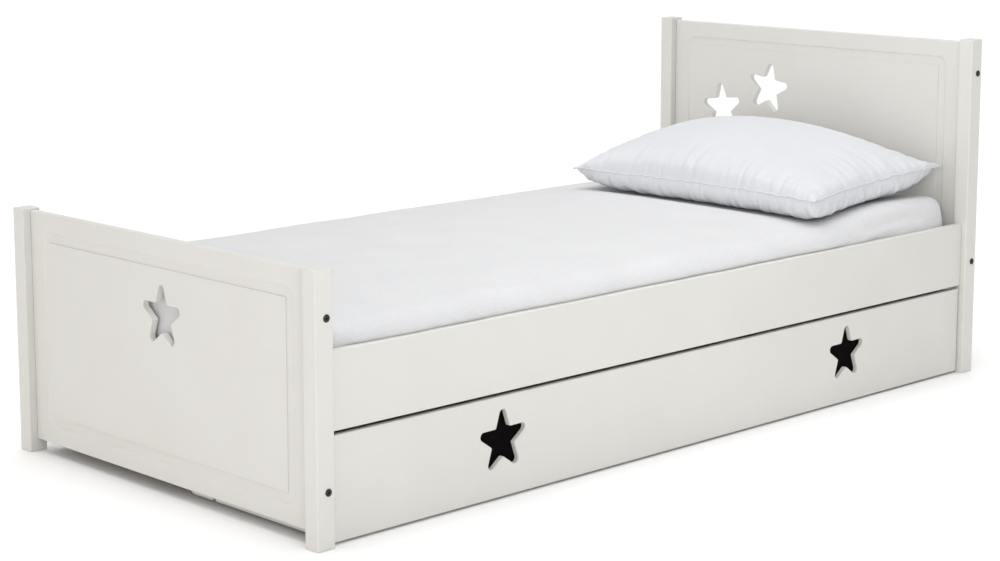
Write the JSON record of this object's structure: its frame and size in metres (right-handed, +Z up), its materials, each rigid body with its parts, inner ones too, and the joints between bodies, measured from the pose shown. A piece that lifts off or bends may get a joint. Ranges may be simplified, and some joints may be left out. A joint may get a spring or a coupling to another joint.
{
  "type": "trundle bed",
  "caption": "Painted slatted bed with star cut-outs, mattress and pillow, over a low trundle that rolls out on castors.",
  "frame": {"origin": "on the floor, under the middle of the bed", "axes": "+X towards the head end, -Y towards the side the trundle rolls out of, +Z up"},
  "size_m": [2.08, 1.0036, 0.818],
  "materials": {
    "painted_wood": "satin off-white paint",
    "bare_wood": "sanded bare softwood",
    "zinc_steel": "zinc-plated steel",
    "castor_rubber": "dark grey moulded castor wheel",
    "mattress_cover": "soft white fitted cover",
    "pillow_cotton": "plain white cotton pillowcase"
  },
  "bodies": {
    "bed": {"foot_panel": "painted_wood", "foot_post_near": "painted_wood", "foot_bolt_near_lower": "zinc_steel", "foot_bolt_near_upper": "zinc_steel", "foot_post_far": "painted_wood", "foot_bolt_far_lower": "zinc_steel", "foot_bolt_far_upper": "zinc_steel", "head_panel": "painted_wood", "head_post_near": "painted_wood", "head_bolt_near_lower": "zinc_steel", "head_bolt_near_upper": "zinc_steel", "head_post_far": "painted_wood", "head_bolt_far_lower": "zinc_steel", "head_bolt_far_upper": "zinc_steel", "side_rail_near": "painted_wood", "rail_hook_foot_near": "zinc_steel", "rail_hook_head_near": "zinc_steel", "slat_ledge_near": "bare_wood", "side_rail_far": "painted_wood", "rail_hook_foot_far": "zinc_steel", "rail_hook_head_far": "zinc_steel", "slat_ledge_far": "bare_wood", "bed_slat_1": "bare_wood", "bed_slat_2": "bare_wood", "bed_slat_3": "bare_wood", "bed_slat_4": "bare_wood", "bed_slat_5": "bare_wood", "bed_slat_6": "bare_wood", "bed_slat_7": "bare_wood", "bed_slat_8": "bare_wood", "bed_slat_9": "bare_wood", "bed_slat_10": "bare_wood", "mattress": "mattress_cover", "pillow": "pillow_cotton"},
    "trundle": {"trundle_front": "painted_wood", "trundle_end_foot": "painted_wood", "trundle_end_head": "painted_wood", "trundle_back": "painted_wood", "trundle_ledge_front": "bare_wood", "trundle_ledge_back": "bare_wood", "trundle_bearer_foot": "bare_wood", "trundle_bearer_head": "bare_wood", "trundle_slat_1": "bare_wood", "trundle_slat_2": "bare_wood", "trundle_slat_3": "bare_wood", "trundle_slat_4": "bare_wood", "trundle_slat_5": "bare_wood", "trundle_slat_6": "bare_wood", "castor_bracket_foot_front": "zinc_steel", "castor_axle_foot_front": "zinc_steel", "castor_bracket_foot_back": "zinc_steel", "castor_axle_foot_back": "zinc_steel", "castor_bracket_head_front": "zinc_steel", "castor_axle_head_front": "zinc_steel", "castor_bracket_head_back": "zinc_steel", "castor_axle_head_back": "zinc_steel"},
    "wheel_foot_front": {"castor_wheel_foot_front": "castor_rubber"},
    "wheel_foot_back": {"castor_wheel_foot_back": "castor_rubber"},
    "wheel_head_front": {"castor_wheel_head_front": "castor_rubber"},
    "wheel_head_back": {"castor_wheel_head_back": "castor_rubber"}
  },
  "joints": [
    {"name": "trundle_slide", "type": "slide", "parent": "bed", "child": "trundle", "axis": [0, -1, 0], "range_m": [0, 0.95]},
    {"name": "wheel_foot_front_roll", "type": "hinge", "parent": "trundle", "child": "wheel_foot_front", "pos_m": [-0.88, -0.37, 0.018], "axis": [1, 0, 0], "continuous": true},
    {"name": "wheel_foot_back_roll", "type": "hinge", "parent": "trundle", "child": "wheel_foot_back", "pos_m": [-0.88, 0.37, 0.018], "axis": [1, 0, 0], "continuous": true},
    {"name": "wheel_head_front_roll", "type": "hinge", "parent": "trundle", "child": "wheel_head_front", "pos_m": [0.88, -0.37, 0.018], "axis": [1, 0, 0], "continuous": true},
    {"name": "wheel_head_back_roll", "type": "hinge", "parent": "trundle", "child": "wheel_head_back", "pos_m": [0.88, 0.37, 0.018], "axis": [1, 0, 0], "continuous": true}
  ],
  "couplings": [
    {"joint": "wheel_foot_front_roll", "follows": "trundle_slide", "rad_per_m": 55.556},
    {"joint": "wheel_foot_back_roll", "follows": "trundle_slide", "rad_per_m": 55.556},
    {"joint": "wheel_head_front_roll", "follows": "trundle_slide", "rad_per_m": 55.556},
    {"joint": "wheel_head_back_roll", "follows": "trundle_slide", "rad_per_m": 55.556}
  ]
}
